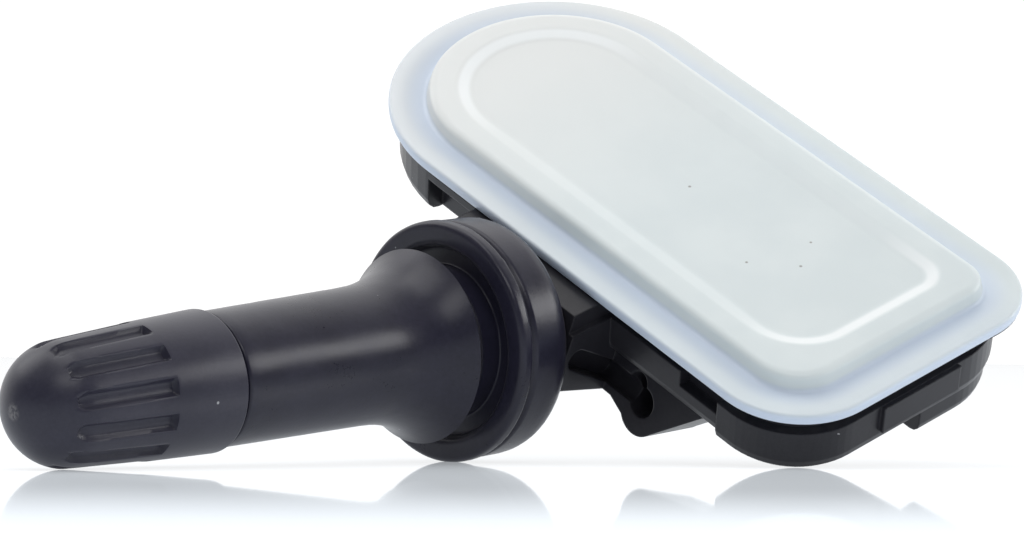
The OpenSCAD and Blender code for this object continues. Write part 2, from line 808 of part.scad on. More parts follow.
module housing() {
    color("#2b2a2e")
        resting()
            difference() {
                union() {
                    on_body()
                        tub_body();
                    difference() {
                        union() {
                            cradle();
                            ear();
                        }
                        on_body()
                            translate([-lid_w, -lid_l / 2, cradle_top_z])
                                cube([3 * lid_w, lid_l, 3 * lid_w]);
                    }
                }
                on_body()
                    tub_cavities();
                valve_cavities();
            }
}

// Cavities and wall openings that follow the body
module tub_cavities() {
    lid_slab(cavity_inset, board_floor_z, lip_z + over);
    translate([pod_centre[0], pod_centre[1], battery_pocket_z])
        cylinder(h = board_floor_z - battery_pocket_z + over, r = battery_pocket_r, $fn = fine);
    plan_block([-battery_r / 3, pod_centre[1] + battery_r - 1, battery_r / 3, tab_end_y + 0.6],
        battery_pocket_z, board_floor_z + over);
    plan_block(deep_pocket, -deep_pod_depth + floor_t, board_floor_z + over);
    plan_block(half_pocket, half_pocket_z, board_floor_z + over);
    translate([chip_centre[0], chip_centre[1], -deep_pod_depth - over])
        cylinder(h = floor_t + 2 * over, r = port_r, $fn = fine);
    plan_block([near_x - notch_cut, notch_y[0] - stem_offset, near_x + wall_inset + over,
        notch_y[1] - stem_offset], -notch_bottom, lip_z + over);
    plan_block([near_x - gap_depth, gap_y[0] - stem_offset, near_x + over,
        gap_y[1] - stem_offset], -wall_depth - over, -strip_bottom);
    difference() {
        plan_block([-lid_w, relief_y, lid_w, lid_l], -relief_top, -wall_top + over);
        lid_slab(neck_inset, -wall_depth, over);
    }
}

// Cavities that follow the stem
module valve_cavities() {
    intersection() {
        bar(socket_end, cradle_front + over, foot_r + slip * 2);
        translate([socket_end - over, -foot_flats / 2 - slip * 2, -foot_r - over])
            cube([foot_l + 3 * over, foot_flats + slip * 4, 2 * foot_r + 2 * over]);
    }
    bar(screw_wall_end - over, socket_end + over, screw_r + slip * 2);
    bar(screw_wall_end - trough_l, screw_wall_end, trough_r);
    translate([cross_hole_x - cross_hole_r, -cross_hole_r, -sleeve_r - over])
        cube([2 * cross_hole_r, 2 * cross_hole_r, sleeve_r]);
    translate([ear_front - ear_hole_depth, ear_hole_upper[0], ear_hole_upper[1]])
        bar(0, ear_hole_depth + over, ear_hole_upper_r);
    translate([ear_front - ear_hole_depth, ear_hole_lower[0], ear_hole_lower[1]])
        bar(0, ear_hole_depth + over, ear_hole_lower_r);
    cheek_slot();
}

// Slanted slot in the cheek beside the ear
module cheek_slot() {
    run = cheek_slot_to - cheek_slot_from;
    translate([cheek_slot_from[0], cradle_half_w - cheek_slot_depth, cheek_slot_from[1]])
        rotate([0, -atan2(run[1], run[0]), 0])
            rotate([-90, 0, 0]) {
                cylinder(h = cheek_slot_depth + over * 3, r = cheek_slot_r, $fn = fine);
                translate([norm(run), 0, 0])
                    cylinder(h = cheek_slot_depth + over * 3, r = cheek_slot_r, $fn = fine);
                translate([0, -cheek_slot_r, 0])
                    cube([norm(run), 2 * cheek_slot_r, cheek_slot_depth + over * 3]);
            }
}

module mounting_screw() {
    recess_depth_in_head = head_h * 0.6;
    color("#9aa0a6")
        resting()
            difference() {
                turned([
                    [screw_wall_end - head_h, 0], [screw_wall_end - head_h, head_r * 0.7],
                    [screw_wall_end - head_h * 0.55, head_r], [screw_wall_end - bond, head_r],
                    [screw_wall_end - bond, screw_r], [screw_wall_end + screw_l - 0.4, screw_r],
                    [screw_wall_end + screw_l, screw_r - 0.4], [screw_wall_end + screw_l, 0]]);
                for (i = [0 : 5])
                    rotate([60 * i, 0, 0])
                        translate([0, 0.95, 0])
                            bar(screw_wall_end - head_h - over,
                                screw_wall_end - head_h + recess_depth_in_head, 0.4, coarse);
                bar(screw_wall_end - head_h - over,
                    screw_wall_end - head_h + recess_depth_in_head, 1, coarse);
            }
}

module circuit_board() {
    color("#1f5a3a")
        resting()
            on_body()
                lid_slab(cavity_inset + slip * 3, board_under_z, board_top_z);
}

module battery_cell() {
    can_round = 0.6;
    color("#c3c7cb")
        resting()
            on_body()
                translate([pod_centre[0], pod_centre[1], battery_bottom_z])
                    rotate_extrude($fn = fine)
                        polygon([
                            [0, 0], [battery_r - 1.6, 0], [battery_r - 1.4, 0.3],
                            [battery_r - can_round, 0.3], [battery_r, can_round + 0.3],
                            [battery_r, battery_t - can_round],
                            [battery_r - can_round, battery_t], [0, battery_t]]);
}

module battery_tab_upper() {
    low = battery_top_z + slip;
    color("#d5d7d9")
        resting()
            on_body()
                union() {
                    translate([-tab_w / 2, pod_centre[1] - 3, low])
                        cube([tab_w, tab_end_y - pod_centre[1] + 2, tab_t]);
                    translate([-tab_w / 2, tab_end_y - 1 - tab_t, low])
                        cube([tab_w, tab_t, board_under_z - slip - low]);
                }
}

module battery_tab_lower() {
    low = battery_bottom_z - tab_t - slip;
    color("#d5d7d9")
        resting()
            on_body()
                union() {
                    translate([-tab_w / 2, pod_centre[1] - 3, low])
                        cube([tab_w, tab_end_y - pod_centre[1] + 3, tab_t]);
                    translate([-tab_w / 2, tab_end_y - tab_t, low])
                        cube([tab_w, tab_t, board_under_z - slip - low]);
                }
}

module sensor_chip() {
    top = board_under_z - slip;
    color("#202224")
        resting()
            on_body()
                difference() {
                    translate([chip_centre[0] - chip_size[0] / 2, chip_centre[1] - chip_size[1] / 2,
                        top - chip_h])
                        cube([chip_size[0], chip_size[1], chip_h]);
                    translate([chip_centre[0], chip_centre[1], top - chip_h - over])
                        cylinder(h = chip_h * 0.6 + over, r = port_r, $fn = fine);
                }
}

module port_gasket() {
    gasket_wall = 1.4;
    low = -deep_pod_depth + floor_t + slip;
    high = board_under_z - slip - chip_h - slip;
    color("#3f3f42")
        resting()
            on_body()
                translate([chip_centre[0], chip_centre[1], low])
                    difference() {
                        cylinder(h = high - low, r = port_r + gasket_wall, $fn = fine);
                        translate([0, 0, -over])
                            cylinder(h = high - low + 2 * over, r = port_r, $fn = fine);
                    }
}

module lf_coil() {
    top = board_under_z - slip;
    flange = 0.8;
    color("#4a3a34")
        resting()
            on_body()
                translate([coil_centre[0], coil_centre[1], top - coil_h / 2]) {
                    rotate([0, 90, 0])
                        cylinder(h = coil_l - 2 * flange, r = coil_h * 0.42, center = true, $fn = fine);
                    for (side = [-1, 1])
                        translate([side * (coil_l - flange) / 2, 0, 0])
                            cube([flange, coil_w, coil_h], center = true);
                }
}

module rf_antenna() {
    z = board_top_z + antenna_wire / 2 + antenna_lift;
    color("#d0b070")
        resting()
            on_body()
                translate([0, 2, z]) {
                    for (sx = [-1, 1])
                        translate([sx * antenna_half[0], 0, 0])
                            rotate([90, 0, 0])
                                cylinder(h = 2 * (antenna_half[1] - antenna_bend_r), d = antenna_wire,
                                    center = true, $fn = coarse);
                    translate([0, antenna_half[1], 0])
                        rotate([0, 90, 0])
                            cylinder(h = 2 * (antenna_half[0] - antenna_bend_r), d = antenna_wire,
                                center = true, $fn = coarse);
                    for (sx = [-1, 1])
                        translate([sx * (antenna_half[0] - antenna_bend_r),
                            antenna_half[1] - antenna_bend_r, 0])
                            rotate([0, 0, sx > 0 ? 0 : 90])
                                rotate_extrude(angle = 90, $fn = fine)
                                    translate([antenna_bend_r, 0])
                                        circle(d = antenna_wire, $fn = coarse);
                    for (sx = [-1, 1])
                        translate([sx * antenna_half[0], -antenna_half[1] + antenna_bend_r,
                            slip + board_top_z - z])
                            cylinder(h = antenna_wire / 2 + antenna_lift, d = antenna_wire,
                                $fn = coarse);
                }
}

module crystal() {
    color("#d9dcdf")
        resting()
            on_body()
                translate([crystal_centre[0], crystal_centre[1],
                    board_under_z - slip - crystal_size[2] / 2])
                    cube(crystal_size, center = true);
}

module board_components() {
    part_l = 1.6;
    part_w = 0.8;
    part_h = 0.7;
    inset = [3, 4.6];
    step = [3.4, 2.2];
    top = board_under_z - slip;
    color("#a58d6a")
        resting()
            on_body()
                for (row = [0 : 1])
                    for (i = [0 : 3])
                        translate([half_pocket[2] - inset[0] - row * step[0],
                            half_pocket[1] + inset[1] + i * step[1], top - part_h])
                            cube([part_l, part_w, part_h]);
}

dust_cap();
cap_seal();
core_plug();
core_barrel();
core_seal();
core_pin();
core_cup_seal();
core_spring();
stem_insert();
rubber_stem();
housing();
lid();
mounting_screw();
circuit_board();
battery_cell();
battery_tab_upper();
battery_tab_lower();
sensor_chip();
port_gasket();
lf_coil();
rf_antenna();
crystal();
board_components();
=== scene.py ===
# %% [markdown]
# # Tyre pressure sensor on a rubber snap-in valve
#
# The real object is two things screwed together: a flat plastic box with a pale lid, which holds
# a battery and a pressure sensor, and a rubber valve that is pulled through the wheel. The packed
# CAD model gives every size and every moving piece. This lesson keeps that frame untouched and
# builds the visible surfaces around it, one piece at a time.

# %% Load the frame
import math
import bmesh
import bpy
from mathutils import Matrix, Vector, noise


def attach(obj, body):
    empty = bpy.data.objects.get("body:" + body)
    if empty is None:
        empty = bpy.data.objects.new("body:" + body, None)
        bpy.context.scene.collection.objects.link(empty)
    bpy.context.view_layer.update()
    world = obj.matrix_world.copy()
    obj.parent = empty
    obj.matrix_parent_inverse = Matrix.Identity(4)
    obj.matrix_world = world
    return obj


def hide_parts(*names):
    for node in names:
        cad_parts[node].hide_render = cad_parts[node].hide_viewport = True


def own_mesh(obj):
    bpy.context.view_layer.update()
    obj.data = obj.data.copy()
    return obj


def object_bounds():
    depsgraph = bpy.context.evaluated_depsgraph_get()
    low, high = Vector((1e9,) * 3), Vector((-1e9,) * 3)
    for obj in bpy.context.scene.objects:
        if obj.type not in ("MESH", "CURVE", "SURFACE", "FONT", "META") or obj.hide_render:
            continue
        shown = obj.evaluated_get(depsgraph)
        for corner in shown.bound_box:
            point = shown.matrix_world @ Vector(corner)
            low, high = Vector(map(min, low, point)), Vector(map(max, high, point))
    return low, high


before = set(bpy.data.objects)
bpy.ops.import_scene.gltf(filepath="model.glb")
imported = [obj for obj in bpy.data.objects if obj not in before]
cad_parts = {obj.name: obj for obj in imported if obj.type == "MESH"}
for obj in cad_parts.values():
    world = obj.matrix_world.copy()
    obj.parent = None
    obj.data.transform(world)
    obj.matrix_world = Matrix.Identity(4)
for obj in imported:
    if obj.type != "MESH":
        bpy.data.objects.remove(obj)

cad_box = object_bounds()
print("CAD box in mm:", [round(1000 * v, 2) for corner in cad_box for v in corner])

# %% [markdown]
# ## Where things are
#
# The part lies on a floor, leaning on its dust cap, its flange and one corner of the box. It is
# hard to model a valve that leans, so every piece is drawn upright in a frame of its own and laid
# in place at the end. The valve's frame has X along the stem. The body's frame has Z out of the
# lid. Both use millimetres, the unit in which such a part is measured.

# %% The two frames
MM = 0.001
PITCH, ROLL, REST_HEIGHT = 7.2556518, -30.7243431, 9.4166676
PLAN_CENTRE = (2.513, 6.595)
BODY_TILT = 19.6
LID_L, LID_W = 57.8, 28.4
LAND_Z, RECESS_Z = 1.15, 0.75
EDGE_TO_SEAT, STEM_OFFSET, SEAT_DROP = 10.2, 0.6, 4.5
SEAT_IN_BODY = Vector((LID_W / 2 + EDGE_TO_SEAT, -STEM_OFFSET, -SEAT_DROP))

VALVE = (Matrix.Scale(MM, 4)
         @ Matrix.Translation((-PLAN_CENTRE[0], -PLAN_CENTRE[1], REST_HEIGHT))
         @ Matrix.Rotation(math.radians(PITCH), 4, "Y")
         @ Matrix.Rotation(math.radians(ROLL), 4, "X"))
BODY = (VALVE @ Matrix.Rotation(math.radians(BODY_TILT), 4, "Y")
        @ Matrix.Translation(-SEAT_IN_BODY))
print("lid centre in mm:", [round(1000 * v, 2) for v in BODY @ Vector((0, 0, LAND_Z))])

# %% [markdown]
# ## The camera
#
# The photograph was taken with a long lens from almost floor level: the lid shows only because
# the box leans towards the lens. A long lens keeps parallel edges nearly parallel, so the camera
# stands about 300 mm away and sees a narrow angle. It is set first, because every later choice is
# judged through it.

# %% Camera
CAMERA_AT = Vector((205.1510, 215.7360, 8.6664)) * MM
CAMERA_RIGHT = Vector((-0.7188637, 0.6951126, 0.0073127))
CAMERA_DOWN = Vector((-0.0314875, -0.0220510, -0.9992609))
CAMERA_AHEAD = Vector((-0.6944376, -0.7185626, 0.0377390))
FOCAL_PX, AXIS_PX = 3859.17, (503.79, 206.68)
FRAME_PX = (1024, 540)
SENSOR_MM = 36

ahead = (CAMERA_AHEAD + CAMERA_RIGHT * (FRAME_PX[0] / 2 - AXIS_PX[0]) / FOCAL_PX
         + CAMERA_DOWN * (FRAME_PX[1] / 2 - AXIS_PX[1]) / FOCAL_PX).normalized()
right = (CAMERA_RIGHT - ahead * CAMERA_RIGHT.dot(ahead)).normalized()
up = right.cross(ahead)
camera_data = bpy.data.cameras.new("product_camera")
camera_data.sensor_width = SENSOR_MM
camera_data.lens = FOCAL_PX / FRAME_PX[0] * SENSOR_MM
camera_data.clip_start = 0.01
camera_data.clip_end = 20
camera = bpy.data.objects.new("product_camera", camera_data)
bpy.context.scene.collection.objects.link(camera)
camera.matrix_world = Matrix((
    (right.x, up.x, -ahead.x, CAMERA_AT.x),
    (right.y, up.y, -ahead.y, CAMERA_AT.y),
    (right.z, up.z, -ahead.z, CAMERA_AT.z),
    (0, 0, 0, 1)))
bpy.context.scene.camera = camera
print("lens in mm:", round(camera_data.lens, 1))

# %% [markdown]
# ## A small language for materials
#
# Materials are networks of nodes. Written one node at a time they are hard to read, so this class
# wraps a socket and lets Python's own operators add the Math nodes. `1 - mask * 0.3` then reads
# like the sum it is.

# %% Shader expressions
class Shade:
    """A value in a material, with operators that add Math nodes."""

    def __init__(self, tree, socket):
        self.tree = tree
        self.socket = socket

    def node(self, kind, inputs, output=0, **settings):
        made = self.tree.nodes.new(kind)
        for key, value in settings.items():
            setattr(made, key, value)
        for key, value in inputs.items():
            if isinstance(value, Shade):
                self.tree.links.new(value.socket, made.inputs[key])
            else:
                made.inputs[key].default_value = value
        return Shade(self.tree, made.outputs[output])

    def math(self, operation, *values):
        return self.node("ShaderNodeMath", dict(enumerate(values)), operation=operation)

    def __add__(self, other): return self.math("ADD", self, other)
    def __radd__(self, other): return self.math("ADD", other, self)
    def __sub__(self, other): return self.math("SUBTRACT", self, other)
    def __rsub__(self, other): return self.math("SUBTRACT", other, self)
    def __mul__(self, other): return self.math("MULTIPLY", self, other)
    def __rmul__(self, other): return self.math("MULTIPLY", other, self)
    def __abs__(self): return self.math("ABSOLUTE", self)
    def power(self, other): return self.math("POWER", self, other)
    def lowest(self, other): return self.math("MINIMUM", self, other)
    def clamp(self): return self.node("ShaderNodeClamp", {"Value": self})

    def ramp(self, low, high):
        """0 below low, 1 above high, smooth between."""
        return self.node("ShaderNodeMapRange", {
            "Value": self, "From Min": low, "From Max": high, "To Min": 0, "To Max": 1},
            interpolation_type="SMOOTHSTEP")

    def mix(self, low, high):
        """Colour that goes from low to high as this value goes from 0 to 1."""
        inputs = {0: self, 6: low if isinstance(low, Shade) else (*low, 1),
                  7: high if isinstance(high, Shade) else (*high, 1)}
        return self.node("ShaderNodeMix", inputs, output=2, data_type="RGBA")

    def along(self, direction):
        """How far these coordinates lie along a direction."""
        return self.node("ShaderNodeVectorMath", {0: self, 1: tuple(direction)}, output="Value",
                         operation="DOT_PRODUCT")


def distance(a, b):
    """Length of the line whose two shares are a and b."""
    return (a * a + b * b).power(0.5)


def material(name):
    """New material with its Principled shader and its Object coordinates."""
    made = bpy.data.materials.new(name)
    made.use_nodes = True
    tree = made.node_tree
    shader = tree.nodes["Principled BSDF"]
    place = Shade(tree, tree.nodes.new("ShaderNodeTexCoord").outputs["Object"])
    return made, shader, place


def feed(shade, shader, socket):
    """Links a value to one of the shader's sockets."""
    shade.tree.links.new(shade.socket, shader.inputs[socket])


def grain(place, size_mm, detail=4, roughness=0.55):
    """Noise from 0 to 1 with features of about this size."""
    return place.node("ShaderNodeTexNoise", {
        "Vector": place, "Scale": 1 / (size_mm * MM), "Detail": detail, "Roughness": roughness})


def bumped(place, height, depth_mm, rounded_mm=0):
    """Normal from a height between 0 and 1, over edges that may be rounded."""
    inputs = {"Height": height, "Distance": depth_mm * MM, "Strength": 1.0}
    if rounded_mm:
        inputs["Normal"] = place.node("ShaderNodeBevel", {"Radius": rounded_mm * MM}, samples=6)
    return place.node("ShaderNodeBump", inputs)


def axis_of(place, matrix):
    """Coordinates in millimetres in the frame that this matrix places: x, y and z as values."""
    back = matrix.inverted()
    rows = []
    for row in range(3):
        rows.append(place.along(back[row][:3]) + back[row][3])
    return rows


def cover(obj, finish):
    """Gives a piece this material in place of any other."""
    obj.data.materials.clear()
    obj.data.materials.append(finish)


print("shader helpers ready")

# %% [markdown]
# ## Helpers for modelling
#
# Blender's mesh operators act on whatever is selected, and the frame arrives selected, so
# everything is deselected before each piece. Two helpers cover the round and the flat pieces:
# one spins a profile about the stem, and the other grows a skin ring by ring.

# %% Modelling helpers
WELD_MM = 0.0004
ON_AXIS_MM = 1e-6
SIDE_SHARE = 0.49


def start():
    """Leaves edit mode and deselects everything."""
    if bpy.context.object and bpy.context.object.mode != "OBJECT":
        bpy.ops.object.mode_set(mode="OBJECT")
    bpy.ops.object.select_all(action="DESELECT")


def finished(obj, matrix, angle):
    """Welds the mesh, turns its faces outwards and lays it in its place."""
    start()
    bpy.context.view_layer.objects.active = obj
    obj.select_set(True)
    bpy.ops.object.mode_set(mode="EDIT")
    bpy.ops.mesh.select_all(action="SELECT")
    bpy.ops.mesh.remove_doubles(threshold=WELD_MM)
    bpy.ops.mesh.normals_make_consistent(inside=False)
    bpy.ops.object.mode_set(mode="OBJECT")
    obj.data.transform(matrix)
    bpy.ops.object.shade_smooth_by_angle(angle=math.radians(angle))
    print(obj.name, len(obj.data.polygons), "faces")
    return obj


def spun(name, profile, steps, shape):
    """Spins a profile of (distance, radius) about X. shape then moves each point off the axis."""
    start()
    bpy.ops.mesh.primitive_plane_add(size=1)
    obj = bpy.context.object
    obj.name = name
    bpy.ops.object.mode_set(mode="EDIT")
    mesh = bmesh.from_edit_mesh(obj.data)
    bmesh.ops.delete(mesh, geom=mesh.verts[:], context="VERTS")
    chain = [mesh.verts.new((x, 0, max(r, 0))) for x, r in profile]
    for a, b in zip(chain, chain[1:]):
        mesh.edges.new((a, b))
    bmesh.update_edit_mesh(obj.data)
    bpy.ops.mesh.select_all(action="SELECT")
    bpy.ops.mesh.spin(steps=steps, angle=2 * math.pi, center=(0, 0, 0), axis=(1, 0, 0))
    bpy.ops.mesh.select_all(action="SELECT")
    bpy.ops.mesh.remove_doubles(threshold=WELD_MM)
    bpy.ops.object.mode_set(mode="OBJECT")
    for v in obj.data.vertices:
        x, r = v.co.x, math.hypot(v.co.y, v.co.z)
        if r > ON_AXIS_MM:
            turned = math.atan2(v.co.z, v.co.y)
            nx, nr = shape(x, r, turned)
            v.co = (nx, nr * math.cos(turned), nr * math.sin(turned))
    return obj


def grown(name, rings):
    """Grows a closed skin: the last ring is extruded and its points move to the next ring."""
    start()
    count = len(rings[0])
    bpy.ops.mesh.primitive_circle_add(vertices=count, radius=1, fill_type="NOTHING")
    obj = bpy.context.object
    obj.name = name
    for v, p in zip(obj.data.vertices, rings[0]):
        v.co = p
    bpy.ops.object.mode_set(mode="EDIT")
    bpy.ops.mesh.select_all(action="SELECT")
    bpy.ops.mesh.edge_face_add()
    for ring in rings[1:]:
        if ring is rings[1]:
            mesh = bmesh.from_edit_mesh(obj.data)
            for f in mesh.faces:
                f.select = False
            for e in mesh.edges:
                e.select = True
            bmesh.update_edit_mesh(obj.data)
        bpy.ops.mesh.extrude_edges_move()
        mesh = bmesh.from_edit_mesh(obj.data)
        mesh.verts.ensure_lookup_table()
        for v, p in zip(mesh.verts[-count:], ring):
            v.co = p
        bmesh.update_edit_mesh(obj.data)
    bpy.ops.mesh.edge_face_add()
    bpy.ops.object.mode_set(mode="OBJECT")
    return obj


def rounded(points, corners, facets):
    """Rounds the corners of a profile. corners gives a radius for a point's number."""
    out = []
    for i, p in enumerate(points):
        radius = corners.get(i, 0)
        if not radius or i == 0 or i == len(points) - 1:
            out.append(p)
            continue
        here, before, after = Vector(p), Vector(points[i - 1]), Vector(points[i + 1])
        a, b = (before - here), (after - here)
        reach = min(radius, a.length * SIDE_SHARE, b.length * SIDE_SHARE)
        a, b = here + a.normalized() * reach, here + b.normalized() * reach
        for k in range(facets + 1):
            t = k / facets
            out.append(tuple(a * (1 - t) ** 2 + here * 2 * t * (1 - t) + b * t * t))
    return out


def even(points, step):
    """Adds points so that no stretch of a profile is longer than step."""
    out = [tuple(points[0])]
    for p, q in zip(points, points[1:]):
        p, q = Vector(p), Vector(q)
        parts = max(1, math.ceil((q - p).length / step))
        out += [tuple(p.lerp(q, (k + 1) / parts)) for k in range(parts)]
    return out


print("modelling helpers ready")

# %% [markdown]
# ## The lid
#
# The lid is a milky moulding with a D-shaped outline: one end fully round, the other square with
# two different corners. Its rim dips into a soft gutter, then climbs to a plateau with a shallow
# recess. All of these follow one outline, so the lid is grown as rings: each ring is the outline
# moved inwards by some distance and set at some height. A boolean would leave hard creases where
# the real moulding flows.

# %% Lid rings
ROUND_END_Y = -(LID_L / 2 - LID_W / 2)
NEAR_CORNER, FAR_CORNER, LEAST_CORNER = 7.4, 6.0, 0.3
LAND_INSET, RECESS_LIP = 4.4, -0.25
RECESS_INSET, RECESS_NEAR, RECESS_FAR = 5.5, 5.5, 2.8


def d_ring(inset, z, near_corner, far_corner):
    """The lid's outline moved inwards. The number of points never changes."""
    half_w, half_l = LID_W / 2 - inset, LID_L / 2 - inset
    near, far = max(near_corner, LEAST_CORNER), max(far_corner, LEAST_CORNER)
    points = []

    def arc(cx, cy, radius, low, high, parts):
        for k in range(parts):
            turn = math.radians(low + (high - low) * k / parts)
            points.append(Vector((cx + radius * math.cos(turn), cy + radius * math.sin(turn), z)))

    def line(a, b, parts):
        for k in range(parts):
            points.append(Vector((*a, z)).lerp(Vector((*b, z)), k / parts))

    arc(0, ROUND_END_Y, half_w, 180, 360, 72)
    line((half_w, ROUND_END_Y), (half_w, half_l - near), 20)
    arc(half_w - near, half_l - near, near, 0, 90, 26)
    line((half_w - near, half_l), (-half_w + far, half_l), 10)
    arc(-half_w + far, half_l - far, far, 90, 180, 22)
    line((-half_w, half_l - far), (-half_w, ROUND_END_Y), 20)
    return points


def lid_ring(inset, z):
    """A ring that follows the lid's rim."""
    return d_ring(inset, z, NEAR_CORNER - inset, FAR_CORNER - inset)


def recess_ring(step, z):
    """A ring that follows the recess in the plateau."""
    return d_ring(RECESS_INSET + step, z, RECESS_NEAR - step, RECESS_FAR - step)


def blended(a, b, t):
    """A ring between two others."""
    return [p.lerp(q, t) for p, q in zip(a, b)]


# Each profile lists how far inside the outline a ring lies, and its height.
under = [(4.25, -0.15), (4.25, -0.88), (4.06, -0.9), (4.06, -1.6), (3.27, -1.6), (3.27, -0.9)]
rim = rounded([(3.27, -0.9), (0.06, -0.9), (0.0, -0.5), (0.06, 0.0), (1.0, 0.02), (2.35, -0.2),
               (3.15, -0.3), (3.42, 0.95), (3.95, LAND_Z), (LAND_INSET, LAND_Z)],
              {1: 0.12, 2: 0.2, 3: 0.5, 4: 0.9, 5: 0.6, 6: 0.35, 7: 0.45, 8: 0.3}, 6)
rings = [lid_ring(i, z) for i, z in under + rim[1:]]
land_from, land_to = lid_ring(LAND_INSET, LAND_Z), recess_ring(RECESS_LIP, LAND_Z)
rings += [blended(land_from, land_to, t) for t in (0.35, 0.7, 1)]
slope = rounded([(RECESS_LIP, LAND_Z), (0.1, LAND_Z), (1.5, 0.76), (1.85, RECESS_Z),
                 (2.3, RECESS_Z)], {1: 0.5, 2: 0.5, 3: 0.3}, 6)
rings += [recess_ring(step, z) for step, z in slope[1:]]
lid = finished(grown("lid_shell", rings), BODY, 30)
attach(lid, "sensor")
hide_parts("lid")

# %% [markdown]
# ## Milky lid plastic
#
# The lid is a natural, uncoloured engineering plastic: white with a trace of grey-green, slightly
# see-through, with a satin moulded skin. Light that goes in comes out again a little to the side,
# so subsurface scattering softens its edges. The gutter is painted bluer and a little darker, as
# painted shade and painted reflection. The recess's slope is painted paler, a painted highlight
# that is strongest at both ends. Four dark specks of dirt lie on the lid.

# %% Lid material
MILK_LOW, MILK_HIGH = (0.625, 0.682, 0.691), (0.662, 0.715, 0.72)
MILK_ROUND_END, GUTTER_PAINTED_SHADE = (0.71, 0.725, 0.715), (0.57, 0.645, 0.76)
SLOPE_PAINTED_LIGHT, DIRT_TINT = (0.86, 0.885, 0.89), (0.2, 0.19, 0.17)
GUTTER_Z, SLOPE_MID_Y = -0.32, 1.5
RECESS_EDGE_R, RECESS_EDGE_Y = (9.05, 9.25), (23.7, 23.9)
SLOPE_FOOT_Z, SLOPE_TOP_Z, SLOPE_FADE = 0.765, 1.16, 0.13
SPECKS = [(0.0, 1.6, 0.13), (2.95, 11.6, 0.12), (-0.1, 14.6, 0.13), (-2.8, 12.9, 0.11)]

lid_finish, shader, place = material("milky_plastic")
x, y, z = axis_of(place, BODY)
cloud = grain(place, 9, 3)
skin = grain(place, 0.35, 5, 0.65)
base = cloud.ramp(0.35, 0.7).mix(MILK_LOW, MILK_HIGH)
base = y.ramp(-24, 4).mix(MILK_ROUND_END, base)
# Painted shade and painted reflection: the gutter's dip is coloured bluer and darker, less so
# where x is below -7 mm.
gutter_shade = ((z - GUTTER_Z).ramp(0.0, 0.5) + (0 - x).ramp(7, 15) * 0.35).clamp()
base = gutter_shade.mix(GUTTER_PAINTED_SHADE, base)
ends = abs(y - SLOPE_MID_Y).ramp(13, 22)
beyond = (y - ROUND_END_Y).lowest(0.0)
inside = (1 - distance(x, beyond).ramp(*RECESS_EDGE_R)) * (1 - y.ramp(*RECESS_EDGE_Y))
# Painted highlight: the recess's sloping wall is coloured paler, faintly on the long sides and
# most at both ends.
slope_light_mask = (z - SLOPE_FOOT_Z).ramp(0.0, SLOPE_FADE) * (SLOPE_TOP_Z - z).ramp(0.0, SLOPE_FADE)
base = (slope_light_mask * inside * (0.05 + ends * 0.75)).mix(base, SLOPE_PAINTED_LIGHT)


def speck(px, py, radius):
    """1 inside a round speck on the lid, 0 outside."""
    away = distance(x - px, y - py)
    return 1 - away.ramp(radius * 0.6, radius * 1.3)


dirt = speck(*SPECKS[0])
for one in SPECKS[1:]:
    dirt = (dirt + speck(*one)).clamp()
base = (dirt * 0.75).mix(base, DIRT_TINT)
feed(base, shader, "Base Color")
feed(0.34 + cloud * 0.08 + skin * 0.06, shader, "Roughness")
feed(bumped(place, skin, 0.006), shader, "Normal")
shader.inputs["Subsurface Weight"].default_value = 0.12
shader.inputs["Subsurface Radius"].default_value = (0.9, 1.0, 1.0)
shader.inputs["Subsurface Scale"].default_value = 0.0012
shader.inputs["Coat Weight"].default_value = 0.15
shader.inputs["Coat Roughness"].default_value = 0.18
cover(lid, lid_finish)
print("lid finish on", lid.name)

# %% [markdown]
# ## The rubber valve
#
# The valve body is one rubber moulding, and it is round about the stem, so its profile is drawn
# once and spun. The flange has two rings with a V between them, the dish and the groove take the
# wheel's edge, and the bulge behind snaps through the hole. Mould flash and tiny tears make its
# edges uneven, so the spun points are nudged a little by noise. A profile lists the distance
# along the stem and the radius there.

# %% Rubber stem
FLANGE_R, REAR_R, FLANGE_T = 9.6, 9.5, 5.8
STEM_END, MOUTH_R, TUBE_R, ANCHOR_R = 23.8, 3.35, 3.33, 5.52
FRONT_RIM, REAR_RIM_BEFORE = (-1.25, -0.6), -4.3
OUTSIDE_R, FRONT_RIM_R, REAR_RIM_R = 4.5, 9.3, 9.0
WAVE_MM, FRONT_BURR_MM, REAR_BURR_MM, BURR_ABOVE = 0.02, 0.22, 0.2, 0.28
FACES_TABLE = -0.85
bulge = [(2.62, 7.62), (3.0, 7.34), (3.5, 7.0), (4.0, 6.68), (4.5, 6.42), (5.0, 6.2),
         (5.5, 6.02), (6.0, 5.86), (6.6, 5.71), (7.3, 5.57), (8.2, 5.46), (9.4, 5.4)]
outer = rounded([
    (-FLANGE_T, MOUTH_R), (-FLANGE_T, REAR_R), (-1.72, REAR_R), (-1.4, FLANGE_R - 0.42),
    (-1.1, FLANGE_R), (0.0, FLANGE_R), (0.0, 7.75), (-1.0, 7.45), (-1.0, 6.1), (0.9, 6.1),
    (2.3, 7.3), (2.62, 7.68)],
    {1: 1.8, 2: 0.22, 3: 0.12, 4: 0.2, 5: 0.9, 6: 0.5, 7: 0.25, 8: 0.25, 9: 0.3, 10: 0.15}, 7)
tail = rounded([(9.4, 5.4), (STEM_END, 5.15), (STEM_END, MOUTH_R)], {1: 0.28}, 5)
inner = [(STEM_END, TUBE_R), (-2.38, TUBE_R), (-2.38, ANCHOR_R), (-3.42, ANCHOR_R),
         (-3.42, TUBE_R), (-FLANGE_T, TUBE_R)]


